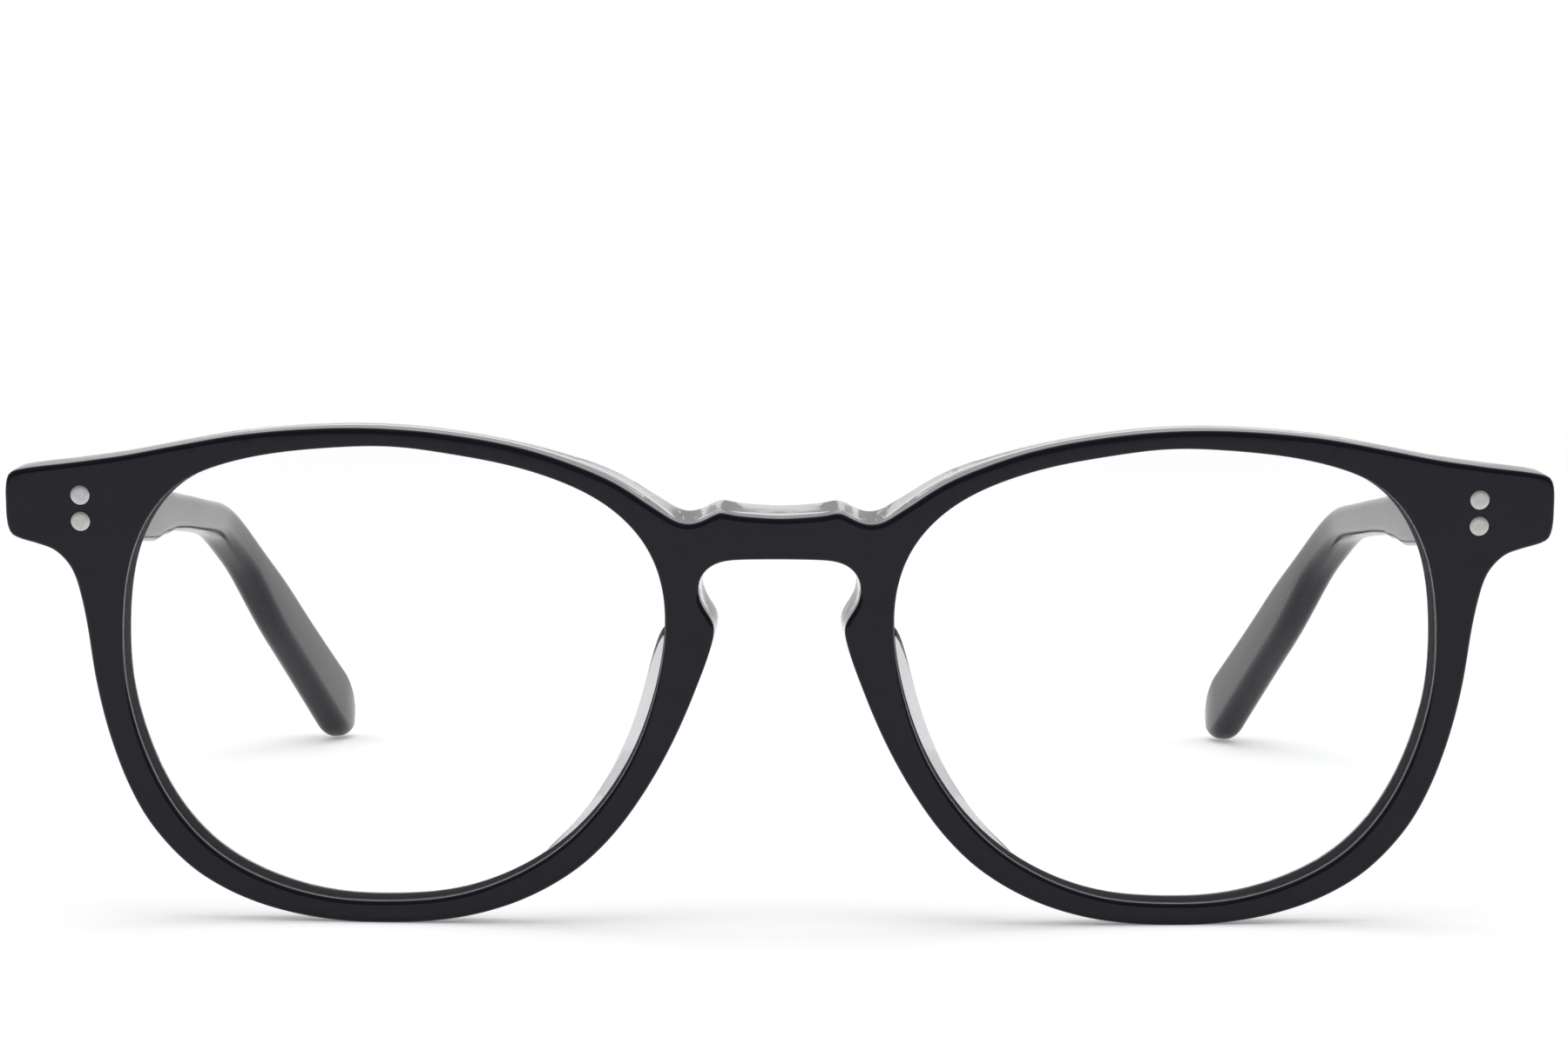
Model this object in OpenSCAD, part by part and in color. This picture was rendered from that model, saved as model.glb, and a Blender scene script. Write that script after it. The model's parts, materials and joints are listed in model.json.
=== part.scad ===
// Soft-square acetate eyeglasses with a keyhole bridge.
// The front is a black layer on a clear layer, the temples fold on five-knuckle hinges.
// The glasses stand on the rim bottoms and the temple tips. +Z is up and the front faces -Y.

/* [Front] */
// Width of one eye opening
eye_w = 50.3; // [48:0.1:53]
// Height of one eye opening
eye_h = 42.8; // [41:0.1:44]
// Distance from the middle of the bridge to the middle of an eye opening
eye_x = 35.6; // [35:0.1:36.5]
// Forward lean of the front as it stands
front_lean = 5.5; // [4:0.5:7]
// Radius of the wrap, seen from above
wrap_r = 500; // [350:10:900]
// Thickness of the black layer
black_t = 2.0; // [1.6:0.1:2.4]
// Thickness of both layers at the rims
rim_t = 4.0; // [3.6:0.1:4.6]
// Thickness of both layers at the bridge
bridge_t = 6.4; // [5.6:0.1:7]
// Outward flare of the back of the bridge and the nose walls
bridge_flare = 0.25; // [0:0.05:0.4]
// Radius of the polished edges
edge_r = 0.75; // [0.4:0.05:0.9]

/* [Lenses] */
// Depth of the V groove in the rims
groove_d = 0.8; // [0.6:0.05:1]
// Half the width of the V groove
groove_half_w = 0.75; // [0.6:0.05:0.9]
// Thickness of a lens
lens_t = 2.0; // [1.8:0.1:2.4]
// How far the middle of a lens stands before its edge
lens_bulge = 1.0; // [0.4:0.1:1.4]
// Gap between lens and rim
lens_gap = 0.06; // [0.02:0.01:0.12]

/* [Nose pads] */
// Reach of a pad behind the front
pad_reach = 4.4; // [3.5:0.1:5]
// How far a pad flares past the rim's inner edge
pad_flare = 1.3; // [0.8:0.1:1.6]

/* [Hinges] */
// Distance of a hinge axis inside the end piece's outer edge
axis_in = 6.6; // [6.3:0.1:6.9]
// Height of the hinge's middle above the middle of the eye opening
hinge_up = 15; // [14.7:0.1:15.3]
// Distance of the axis behind the end piece
axis_gap = 2.4; // [2.3:0.05:2.6]
// Distance of the axis inside the temple
axis_inset = 2.0; // [1.95:0.05:2.2]
// Radius of the knuckles
knuckle_r = 1.55; // [1.4:0.05:1.65]
// Height of one knuckle
knuckle_h = 1.05; // [0.9:0.05:1.2]
// Gap between two knuckles
knuckle_gap = 0.06; // [0.04:0.01:0.1]
// Diameter of the hinge screw
screw_d = 1.4; // [1.2:0.1:1.6]
// Radial clearance of the temple knuckles on the screw
screw_clear = 0.04; // [0.02:0.01:0.08]
// Thickness of a hinge leaf
leaf_t = 0.9; // [0.7:0.1:1]
// Depth of a leaf in its pocket
leaf_sink = 0.6; // [0.4:0.1:0.7]
// Diameter of a rivet pin
rivet_d = 1.8; // [1.4:0.1:2]
// Distance between the two rivets of a pair
rivet_pitch = 2.45; // [2.4:0.05:2.8]

/* [Temples] */
// Height of a temple at the hinge
temple_h = 6.5; // [6.3:0.1:6.7]
// Thickness of a temple at the hinge
temple_t = 4.3; // [4:0.1:4.6]
// Thickness of a temple at its tip
tip_t = 3.2; // [2.8:0.1:3.6]
// Height of the paddle end
paddle_h = 7.8; // [7:0.1:9]
// Distance from the hinge axis to the start of the bend
bend_y = 95.5; // [92:0.5:98]
// Radius of the bend
bend_r = 30; // [27:1:33]
// Angle of the bend
bend_a = 32; // [30:0.5:34]
// Turn of the bend towards the head
bend_roll = 21; // [18:0.5:24]
// Drop of the temple's middle line below the hinge's middle
temple_low = 0.2; // [0:0.05:0.4]
// Slope of the straight part
temple_slope = 6.1; // [5.5:0.1:6.5]
// Toe-in of the straight part
temple_toe = 3.6; // [3:0.1:4]
// Gap between a temple and its end piece
butt_gap = 0.15; // [0.1:0.01:0.25]
// Diameter of the core wire
wire_d = 1.4; // [1.2:0.1:1.6]

/* [Hidden] */
$fn = 32;

black = [0.13, 0.13, 0.15];
clear = [0.86, 0.88, 0.90, 0.6];
glass = [0.9, 0.95, 0.97, 0.35];
steel = [0.72, 0.73, 0.74];

// Tight gap between glued or pressed pieces
bond = 0.01;
// Steps between two pairs of rim points
steps = 2;
// How far the polished face stands out in the middle of a rim
pillow = 0.08;
// Reach of a block that cuts away all on one side of a plane
far = 400;
// Eye opening that the rim points are drawn for
drawn_eye = [50.3, 42.6];
eye_scale = [eye_w / drawn_eye[0], eye_h / drawn_eye[1]];
// Middle of the eye opening above the rim bottoms
drawn_eye_z = 23.165;
eye_z = drawn_eye_z * eye_scale[1];
// Outer edge of an end piece, where the hinge is measured from
drawn_end = 35.9;
end_x = eye_x + drawn_end * eye_scale[0];
axis_x = end_x - axis_in;
hinge_z = eye_z + hinge_up * eye_scale[1];
// Front of the bridge behind the middle of the whole object
front_y = -71.33;

// Rim pairs of the right eye, from the side of the head up and round.
// Each has a point of the eye opening and the facing point of the outline, from the eye's middle.
rim = [
    [[25, -1], [27.75, -1]],
    [[25.15, 3], [28.4, 3.6]],
    [[25, 6.4], [29.1, 7.2]],
    [[24.8, 8.1], [29.9, 9.4]],
    [[24.6, 9.3], [31.5, 11]],
    [[24.4, 10.2], [34.3, 11.85]],
    [[24.2, 10.9], [35.4, 12.35]],
    [[23.95, 11.6], [35.8, 13.4]],
    [[23.6, 12.5], [35.9, 15.3]],
    [[23.2, 13.3], [35.85, 17.1]],
    [[22.8, 14.1], [35.5, 18.05]],
    [[22.2, 15], [34.5, 18.45]],
    [[21.05, 16.5], [30.5, 19.05]],
    [[18.5, 18.33], [24.8, 19.95]],
    [[12.1, 20.25], [15, 21.93]],
    [[6, 21], [7.2, 22.78]],
    [[0.1, 21.3], [0.4, 22.88]],
    [[-5.5, 20.6], [-6.4, 22.27]],
    [[-11.6, 19.5], [-13, 20.98]],
    [[-17.9, 17.25], [-20, 18.38]],
    [[-20.8, 15.35], [-23.6, 16.15]],
    [[-22.65, 13.5], [-26.1, 14.4]],
    [[-24, 11.4], [-27.6, 11.7]],
    [[-24.75, 9.3], [-28.15, 9]],
    [[-25.05, 7.6], [-28.2, 7.6]],
    [[-25.15, 6.3], [-28.8, 6.35]],
    [[-25.2, 4.9], [-29.65, 5.05]],
    [[-25.1, 3.1], [-29.45, 3.4]],
    [[-24.5, -0.4], [-28.2, -0.3]],
    [[-22.6, -6.4], [-25.5, -6.6]],
    [[-19.6, -11.6], [-21.5, -13.2]],
    [[-15.6, -15.9], [-17.3, -17.7]],
    [[-10.8, -18.9], [-11.9, -20.95]],
    [[-5.4, -20.8], [-6, -22.75]],
    [[0.2, -21.3], [0.3, -23.35]],
    [[5.8, -21.2], [6.3, -23.15]],
    [[11.5, -19.8], [12.9, -21.75]],
    [[17, -16.9], [18.7, -18.8]],
    [[21.1, -12.2], [23.3, -13.8]],
    [[23.7, -6.5], [26.2, -7.3]]
];

// Bridge stations from the middle outwards: distance, underside and top above the eye's middle
bridge = [
    [0, 11.18, 15],
    [2.8, 11.15, 15.15],
    [4.2, 11.1, 15.3],
    [5.1, 11, 15.48],
    [5.7, 10.83, 15.48],
    [6.3, 10.55, 15.22],
    [6.9, 10, 14.78],
    [7.4, 9.1, 14.5],
    [8.3, 8.7, 14.25],
    [9.3, 8.7, 14.45],
    [10.2, 8.9, 14.85]
];

// Rounding of an edge as parts of its radius: in from the edge, down from the face
edge_arc = [[0, 1], [0.1, 0.56], [0.34, 0.22], [1, 0]];

function wrap_y(x) = wrap_r - sqrt(wrap_r * wrap_r - x * x);
function wrap_a(x) = asin(x / wrap_r);
// Point of the flat front put on the wrap: x, depth behind the face, height
function bent(p) = [p[0] - p[1] * sin(wrap_a(p[0])),
                    wrap_y(p[0]) + p[1] * cos(wrap_a(p[0])), p[2]];
// Thickness of the front, which grows towards the nose
function nose_k(x) = let(u = max(0, min(1, (26 - abs(x)) / 18))) u * u * (3 - 2 * u);
function front_t(x) = rim_t + (bridge_t - rim_t) * nose_k(x);

// Smooth closed curve through points, as a centripetal spline
function spline_at(p0, p1, p2, p3, u) =
    let(a = sqrt(norm(p1 - p0)), b = sqrt(norm(p2 - p1)), c = sqrt(norm(p3 - p2)),
        m1 = p2 - p1 + b * ((p1 - p0) / a - (p2 - p0) / (a + b)),
        m2 = p2 - p1 + b * ((p3 - p2) / c - (p3 - p1) / (b + c)),
        q2 = 3 * (p2 - p1) - 2 * m1 - m2,
        q3 = 2 * (p1 - p2) + m1 + m2)
    p1 + m1 * u + q2 * u * u + q3 * u * u * u;
function closed_spline(pts) =
    let(n = len(pts))
    [for (i = [0:n - 1], k = [0:steps - 1])
        spline_at(pts[(i + n - 1) % n], pts[i], pts[(i + 1) % n], pts[(i + 2) % n], k / steps)];

function scaled(p) = [p[0] * eye_scale[0], p[1] * eye_scale[1]];
eye_curve = closed_spline([for (r = rim) scaled(r[0])]);
outer_curve = closed_spline([for (r = rim) scaled(r[1])]);
stations = len(eye_curve);
function unit(v) = v / norm(v);

// Outward direction across the rim at a station
function across(i) = unit(outer_curve[i] - eye_curve[i]);
// Outward normal of the eye opening at a station
function eye_normal(i) =
    let(d = eye_curve[(i + 1) % stations] - eye_curve[(i + stations - 1) % stations])
    unit([d[1], -d[0]]);
// Point of the rim: distance from the eye opening, depth behind the face
function rim_point(i, r, y) =
    let(p = eye_curve[i] + across(i) * r)
    bent([eye_x + p[0], y, eye_z + p[1]]);
function rim_w(i) = norm(outer_curve[i] - eye_curve[i]);

// Triangles between rings of equal length, as a row or as a closed loop
function side_faces(rings, n, loop) =
    [for (i = [0:(loop ? rings - 1 : rings - 2)], j = [0:n - 1])
        let(a = i * n + j, b = i * n + (j + 1) % n,
            c = ((i + 1) % rings) * n + (j + 1) % n, d = ((i + 1) % rings) * n + j)
        each [[a, b, c], [a, c, d]]];
function flat_list(rings) = [for (r = rings) each r];
function centre_of(r) =
    [for (k = [0:2]) [for (p = r) p[k]] * [for (p = r) 1] / len(r)];

// Closed loop of sections
module loop_loft(rings) {
    polyhedron(points = flat_list(rings),
               faces = [for (f = side_faces(len(rings), len(rings[0]), true)) [f[2], f[1], f[0]]],
               convexity = 6);
}

// Row of sections closed by a fan at each end
module loft(rings) {
    n = len(rings[0]);
    m = len(rings);
    first = n * m;
    last = first + 1;
    polyhedron(points = concat(flat_list(rings), [centre_of(rings[0]), centre_of(rings[m - 1])]),
               faces = concat(side_faces(m, n, false),
                              [for (j = [0:n - 1]) [first, (j + 1) % n, j]],
                              [for (j = [0:n - 1])
                                  [last, (m - 1) * n + j, (m - 1) * n + (j + 1) % n]]),
               convexity = 6);
}

// Sections of the two layers at a rim station
function black_section(i) =
    let(w = rim_w(i), r = min(edge_r, w / 2.6), n = len(edge_arc), s = r * 0.6)
    concat([rim_point(i, groove_d, black_t), rim_point(i, 0, black_t - groove_half_w)],
           [for (k = [0:n - 1]) rim_point(i, edge_arc[k][0] * s, edge_arc[k][1] * s)],
           [rim_point(i, (w + s - r) / 2, -pillow)],
           [for (k = [n - 1:-1:0]) rim_point(i, w - edge_arc[k][0] * r, edge_arc[k][1] * r)],
           [rim_point(i, w, black_t)]);
function clear_section(i) =
    let(w = rim_w(i), r = min(edge_r, w / 2.6), n = len(edge_arc), s = r * 0.6)
    concat([rim_point(i, w, black_t)],
           [for (k = [0:n - 1])
               back_point(i, w + back_flare(i) - edge_arc[k][0] * r, edge_arc[k][1] * r)],
           [for (k = [n - 1:-1:0]) back_point(i, edge_arc[k][0] * s, edge_arc[k][1] * s)],
           [rim_point(i, 0, black_t + groove_half_w), rim_point(i, groove_d, black_t)]);
// Outward flare of the clear layer's wall around the bridge
function back_flare(i) = bridge_flare * nose_k(eye_x + outer_curve[i][0]);
// Point measured down from the back face
function back_point(i, r, y) =
    let(p = eye_curve[i] + across(i) * r, x = eye_x + p[0])
    bent([x, front_t(x) - y, eye_z + p[1]]);

// Sections of the two layers across the bridge at a signed distance
function bridge_black(x, lo, hi) =
    let(n = len(edge_arc), r = edge_r)
    concat([bent([x, black_t, eye_z + lo])],
           [for (k = [0:n - 1]) bent([x, edge_arc[k][1] * r, eye_z + lo + edge_arc[k][0] * r])],
           [bent([x, -pillow, eye_z + (lo + hi) / 2])],
           [for (k = [n - 1:-1:0])
               bent([x, edge_arc[k][1] * r, eye_z + hi - edge_arc[k][0] * r])],
           [bent([x, black_t, eye_z + hi])]);
function bridge_clear(x, lo, hi) =
    let(n = len(edge_arc), r = edge_r, t = front_t(x))
    concat([bent([x, black_t, eye_z + hi])],
           [for (k = [0:n - 1])
               bent([x, t - edge_arc[k][1] * r,
                     eye_z + hi + bridge_flare - edge_arc[k][0] * r])],
           [for (k = [n - 1:-1:0])
               bent([x, t - edge_arc[k][1] * r, eye_z + lo + edge_arc[k][0] * r])],
           [bent([x, black_t, eye_z + lo])]);
// The bridge ends inside the rims, this far from the middle of an eye opening as drawn
bridge_root = 25.4;
bridge_k = (eye_x - bridge_root * eye_scale[0]) / bridge[len(bridge) - 1][0];
function bridge_at(k, s) = [s * bridge_k * bridge[k][0], bridge[k][1], bridge[k][2]];
bridge_row = concat([for (k = [len(bridge) - 1:-1:1]) bridge_at(k, -1)],
                    [for (k = [0:len(bridge) - 1]) bridge_at(k, 1)]);

// Places on the leaning front and on its wrapped face
module on_front() {
    translate([0, front_y, 0]) rotate([front_lean, 0, 0]) children();
}
module at_face(x, z) {
    translate([x, wrap_y(x), z]) rotate([0, 0, wrap_a(x)]) children();
}
module side(s) {
    mirror([s < 0 ? 1 : 0, 0, 0]) children();
}

// Hinge axis in the standing frame: the back of the end piece, then the gap
hinge_depth = rim_t + axis_gap;
axis_flat = bent([axis_x + hinge_depth * sin(wrap_a(axis_x)), hinge_depth, hinge_z]);
axis_y = front_y + axis_flat[1] * cos(front_lean) - hinge_z * sin(front_lean);
axis_z = axis_flat[1] * sin(front_lean) + hinge_z * cos(front_lean);
module at_axis() {
    translate([axis_x, axis_y, axis_z]) children();
}

rivet_rows = [-rivet_pitch / 2, rivet_pitch / 2];
// Front rivets and leaf inside the end piece's outer edge
rivet_in = 7.1;
leaf_in = 7.5;
rivet_x = end_x - rivet_in;
leaf_w = 4.7;
leaf_h = 6.2;
leaf_x = end_x - leaf_in;
rivet_len = rim_t - leaf_sink + leaf_t;

// Bores and pins of the rivets that hold a front leaf
module front_pins(grow) {
    over = grow > 0 ? 1 : 0;
    for (z = rivet_rows)
        at_face(rivet_x, hinge_z + z)
            rotate([-90, 0, 0]) translate([0, 0, -over])
                cylinder(d = rivet_d + 2 * grow, h = rivet_len + 2 * over);
}
module leaf_pocket(grow) {
    at_face(leaf_x, hinge_z)
        translate([-leaf_w / 2 - grow, rim_t - leaf_sink - (grow > 0 ? bond : 0), -leaf_h / 2 - grow])
            cube([leaf_w + 2 * grow, leaf_t + grow, leaf_h + 2 * grow]);
}

// Black front layer: two rims with end pieces, joined by the keyhole bridge
module front_black_layer() {
    color(black)
        on_front() difference() {
            union() {
                for (s = [-1, 1]) side(s) loop_loft([for (i = [0:stations - 1]) black_section(i)]);
                loft([for (b = bridge_row) bridge_black(b[0], b[1], b[2])]);
            }
            for (s = [-1, 1]) side(s) front_pins(bond);
        }
}

// Clear back layer with the pockets of the hinge leaves
module front_crystal_layer() {
    color(clear)
        on_front() difference() {
            union() {
                for (s = [-1, 1]) side(s) loop_loft([for (i = [0:stations - 1]) clear_section(i)]);
                loft([for (b = bridge_row) bridge_clear(b[0], b[1], b[2])]);
            }
            for (s = [-1, 1]) side(s) {
                front_pins(bond);
                leaf_pocket(bond);
            }
        }
}

// Lens ring: part of the way to the edge, growth at the edge, depth
function lens_ring(part, grow, y) =
    [for (i = [0:stations - 1])
        let(p = eye_curve[i] * part + eye_normal(i) * grow)
        bent([eye_x + p[0], y, eye_z + p[1]])];
lens_front = black_t - lens_t / 2;
lens_back = black_t + lens_t / 2;
mouth = groove_half_w - lens_gap;
lens_rings = [
    lens_ring(0.3, 0, lens_front - lens_bulge * 0.91),
    lens_ring(0.68, 0, lens_front - lens_bulge * 0.54),
    lens_ring(1, -lens_gap * 2, lens_front),
    lens_ring(1, -lens_gap * 2, black_t - mouth),
    lens_ring(1, groove_d - lens_gap * 3, black_t),
    lens_ring(1, -lens_gap * 2, black_t + mouth),
    lens_ring(1, -lens_gap * 2, lens_back),
    lens_ring(0.6, 0, lens_back - lens_bulge * 0.64)
];

// Clear demo lens with a V bevel in the rim groove
module lens(s) {
    color(glass) on_front() side(s) loft(lens_rings);
}

// Pad section across the rim: part of the flare, part of the reach
pad_shape = [[0.06, 0], [0.10, 0.22], [0.22, 0.48], [0.42, 0.74], [0.66, 0.93], [0.84, 1],
             [0.96, 0.95], [1, 0.84], [0.93, 0.66], [0.78, 0.42], [0.67, 0.2], [0.62, 0]];
pad_first = 26 * steps + 1;
pad_last = 31 * steps + 1;
// Distance of a pad from the outline
pad_in = 0.25;
function pad_ring(i) =
    let(u = (i - pad_first) / (pad_last - pad_first),
        k = pow(sin(180 * (0.02 + 0.96 * u)), 0.55),
        w = rim_w(i), q = outer_curve[i], d = -across(i),
        wide = w + 1.25 * pad_flare * sin(180 * pow(u, 0.75)) * sqrt(1 - u) - pad_in)
    [for (c = pad_shape)
        let(p = q + d * (pad_in + c[0] * wide), x = eye_x + p[0])
        bent([x, front_t(x) + 2 * bond + c[1] * pad_reach * k, eye_z + p[1]])];

// Clear nose pad glued behind the rim, flaring back and outwards
module nose_pad(s) {
    color(clear) on_front() side(s) loft([for (i = [pad_last:-1:pad_first]) pad_ring(i)]);
}

// Pair of rivet pins with polished flush heads
module front_rivets(s) {
    color(steel) on_front() side(s) front_pins(0);
}

// Knuckle stack about the axis: index 0 is the lowest
stack_h = 5 * knuckle_h + 4 * knuckle_gap;
function knuckle_z(k) = -stack_h / 2 + k * (knuckle_h + knuckle_gap);
module knuckle(k) {
    translate([0, 0, knuckle_z(k)]) cylinder(r = knuckle_r, h = knuckle_h);
}
module screw_bore(grow) {
    translate([0, 0, -stack_h]) cylinder(d = screw_d + 2 * grow, h = 2 * stack_h);
}
head_d = 2.3;
head_h = 0.5;
slot_w = 0.4;
slot_d = 0.3;
// How far the arms of the knuckles stay inside their round
arm_in = 0.15;

// Arms that join the front leaf's knuckles to its plate
module front_arms() {
    difference() {
        at_axis() for (k = [0, 2, 4])
            translate([-knuckle_r, -hinge_depth, knuckle_z(k)])
                cube([2 * knuckle_r - arm_in, hinge_depth, knuckle_h]);
        on_front() at_face(leaf_x, hinge_z)
            translate([-far / 2, 5 * bond - far + rim_t, -far / 2]) cube(far);
    }
}

// Front leaf: a plate in the pocket with three knuckles
module hinge_front_leaf(s) {
    color(steel) side(s) difference() {
        union() {
            on_front() leaf_pocket(0);
            at_axis() for (k = [0, 2, 4]) knuckle(k);
            front_arms();
        }
        on_front() front_pins(bond);
        at_axis() screw_bore(bond);
        at_axis() translate([0, 0, stack_h / 2 - head_h]) cylinder(d = head_d + 10 * bond, h = stack_h);
    }
}

// Slotted hinge screw, head up
module hinge_screw(s) {
    color(steel) side(s) at_axis() difference() {
        union() {
            translate([0, 0, -stack_h / 2]) cylinder(d = screw_d, h = stack_h - head_h);
            translate([0, 0, stack_h / 2 - head_h + bond]) cylinder(d = head_d, h = head_h);
            translate([0, 0, stack_h / 2 - head_h - bond]) cylinder(d = screw_d, h = head_h);
        }
        translate([-head_d, -slot_w / 2, stack_h / 2 - slot_d]) cube([2 * head_d, slot_w, 1]);
    }
}

// Temple path: straight, bend and drop, from the hinge axis
centre_x = axis_inset + temple_t / 2;
run_dir = unit([-tan(temple_toe), 1, -tan(temple_slope)]);
down_raw = [-sin(bend_roll), 0, -cos(bend_roll)];
down_dir = unit(down_raw - run_dir * (down_raw * run_dir));
path_from = [centre_x, 0, -temple_low];
bend_from = path_from + run_dir * bend_y;
drop_dir = run_dir * cos(bend_a) + down_dir * sin(bend_a);
drop_from = bend_from + run_dir * bend_r * sin(bend_a) + down_dir * bend_r * (1 - cos(bend_a));
tip_r = paddle_h / 2;
// How far the tip's round begins before the end of the path
tip_lap = 0.6;
drop_up = unit(cross([1, 0, 0], drop_dir));
tip_reach = norm([tip_r * drop_dir[2], (tip_r - 0.1) * drop_up[2]]);
drop_len = (axis_z + drop_from[2] - tip_reach) / -drop_dir[2] + tip_lap;
arc_len = bend_r * bend_a * PI / 180;
path_len = bend_y + arc_len + drop_len;

function path_at(s) =
    s < bend_y ? path_from + run_dir * s
    : s < bend_y + arc_len
        ? let(a = (s - bend_y) / bend_r * 180 / PI)
          bend_from + run_dir * bend_r * sin(a) + down_dir * bend_r * (1 - cos(a))
        : drop_from + drop_dir * (s - bend_y - arc_len);
function dir_at(s) =
    s < bend_y ? run_dir
    : s < bend_y + arc_len
        ? let(a = (s - bend_y) / bend_r * 180 / PI) run_dir * cos(a) + down_dir * sin(a)
        : drop_dir;

// Temple sizes along the path: distance, rise above it, fall below it, thickness
sizes = [
    [-6, temple_h / 2 - 0.4, temple_h / 2, temple_t],
    [12, temple_h / 2 - 0.2, temple_h / 2, temple_t],
    [30, temple_h / 2 - 0.1, temple_h / 2 - 0.1, temple_t - 0.2],
    [46, temple_h / 2 - 0.2, temple_h / 2 - 0.2, temple_t - 0.3],
    [53, temple_h / 2 - 0.3, temple_h / 2 - 0.3, temple_t - 0.35],
    [60, temple_h / 2 - 0.5, temple_h / 2 - 1.1, temple_t - 0.4],
    [66, temple_h / 2 - 0.7, temple_h / 2 - 1.7, temple_t - 0.45],
    [74, temple_h / 2 - 0.8, temple_h / 2 - 2, temple_t - 0.5],
    [90, temple_h / 2 - 0.95, temple_h / 2 - 2.05, temple_t - 0.6],
    [108, paddle_h / 2 - 2.05, paddle_h / 2 - 1.9, tip_t + 0.2],
    [124, paddle_h / 2 - 0.85, paddle_h / 2 - 0.45, tip_t],
    [160, paddle_h / 2 + 0.3, paddle_h / 2, tip_t]
];
function size_at(s, k, i = 0) =
    i >= len(sizes) - 2 || s <= sizes[i + 1][0]
        ? let(u = max(0, min(1, (s - sizes[i][0]) / (sizes[i + 1][0] - sizes[i][0]))),
              v = u * u * (3 - 2 * u))
          sizes[i][k] * (1 - v) + sizes[i + 1][k] * v
        : size_at(s, k, i + 1);

corner_r = 1.1;
// Rounded section: half thickness, rise and fall, corner radius
function corner(cx, cz, r, from) = [for (a = [from:30:from + 90]) [cx + r * cos(a), cz + r * sin(a)]];
function temple_shape(t, up, down, r) = concat(
    corner(t - r, up - r, r, 0), corner(-t + r, up - r, r, 90),
    corner(-t + r, -down + r, r, 180), corner(t - r, -down + r, r, 270));
function temple_ring(s, k_h, k_t) =
    let(d = dir_at(s), h_axis = unit(cross([1, 0, 0], d)), t_axis = cross(d, h_axis),
        t = size_at(s, 3) / 2 * k_t, up = size_at(s, 1) * k_h, down = size_at(s, 2) * k_h,
        r = min(corner_r, t * 0.75, up * 0.75, down * 0.75), p = path_at(s))
    [for (c = temple_shape(t, up, down, r)) p + t_axis * c[0] + h_axis * c[1]];
ring_places = concat([-6, 12, 30, 44, 49, 53, 56, 59, 62, 65, 69, 75, bend_y],
                     [for (a = [5:6:bend_a]) bend_y + arc_len * a / bend_a],
                     [for (k = [0:4]) bend_y + arc_len + (drop_len - tip_lap) * k / 4]);
tip_places = [for (a = [15:15:75]) a];
temple_rings = concat(
    [for (s = ring_places) temple_ring(s, 1, 1)],
    [for (a = tip_places) temple_ring(path_len - tip_lap + tip_r * sin(a), cos(a), 0.45 + 0.55 * cos(a))],
    [temple_ring(path_len - tip_lap + tip_r * 0.995, 0.1, 0.4)]);

// Half space behind the end piece, which mitres the temple's front end
module behind_end_piece() {
    on_front() at_face(end_x - 2.5, hinge_z)
        translate([-far / 2, rim_t + butt_gap, -far / 2]) cube(far);
}
temple_leaf_l = 9.0;
temple_leaf_h = 5.2;
temple_leaf_y = -1.4;
temple_rivet_y = [2.3, 5.1];
// Tang of the leaf that holds the core wire's end
tang_l = 1.2;
tang_h = wire_d + 0.1;
// Place on the temple's inner face, along its straight part
module temple_frame() {
    at_axis() translate([axis_inset, 0, -temple_low])
        rotate([-temple_slope, 0, 0]) rotate([0, 0, temple_toe]) children();
}
module temple_leaf_plate(grow) {
    temple_frame()
        translate([-(leaf_t - leaf_sink), temple_leaf_y - grow, -temple_leaf_h / 2 - grow])
            cube([leaf_t + grow, temple_leaf_l + 2 * grow, temple_leaf_h + 2 * grow]);
    temple_frame()
        translate([0, temple_leaf_y + temple_leaf_l - tang_l - grow, -tang_h / 2 - grow])
            cube([temple_t / 2 + tang_h / 2 + grow, tang_l + 2 * grow, tang_h + 2 * grow]);
}
module temple_pins(grow) {
    for (y = temple_rivet_y)
        temple_frame() translate([-(leaf_t - leaf_sink) - (grow > 0 ? 1 : 0), y, 0])
            rotate([0, 90, 0])
                cylinder(d = rivet_d + 2 * grow,
                         h = temple_t - 0.06 + leaf_t - leaf_sink + (grow > 0 ? 2 : 0));
}

// Core wire along the path, from the tang into the drop
wire_from = temple_leaf_y + temple_leaf_l + temple_t / 2 * sin(temple_toe) + 0.05;
wire_to = bend_y + arc_len + drop_len * 0.62;
wire_places = concat([bend_y], [for (a = [1:6]) bend_y + arc_len * a / 6]);
function wire_ring(s, r) =
    let(d = dir_at(s), h_axis = unit(cross([1, 0, 0], d)), t_axis = cross(d, h_axis))
    [for (a = [0:24:336]) path_at(s) + t_axis * r * cos(a) + h_axis * r * sin(a)];
module wire_shape(grow) {
    at_axis() loft([for (s = concat([wire_from - 3 * grow], wire_places, [wire_to + grow]))
                       wire_ring(s, wire_d / 2 + grow)]);
}

// Black temple with its paddle end
module temple(s) {
    color(black) side(s) difference() {
        intersection() {
            at_axis() loft(temple_rings);
            behind_end_piece();
        }
        temple_leaf_plate(bond);
        temple_pins(bond);
        wire_shape(bond);
    }
}
module core_wire(s) {
    color(steel) side(s) wire_shape(0);
}
module temple_rivets(s) {
    color(steel) side(s) temple_pins(0);
}

// Temple leaf: a plate in the temple with two knuckles
module hinge_temple_leaf(s) {
    color(steel) side(s) difference() {
        union() {
            temple_leaf_plate(0);
            at_axis() for (k = [1, 3]) {
                knuckle(k);
                translate([0, -knuckle_r + arm_in, knuckle_z(k)])
                    cube([axis_inset, 2 * knuckle_r - arm_in, knuckle_h]);
            }
        }
        temple_pins(bond);
        at_axis() screw_bore(screw_clear);
    }
}

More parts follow.
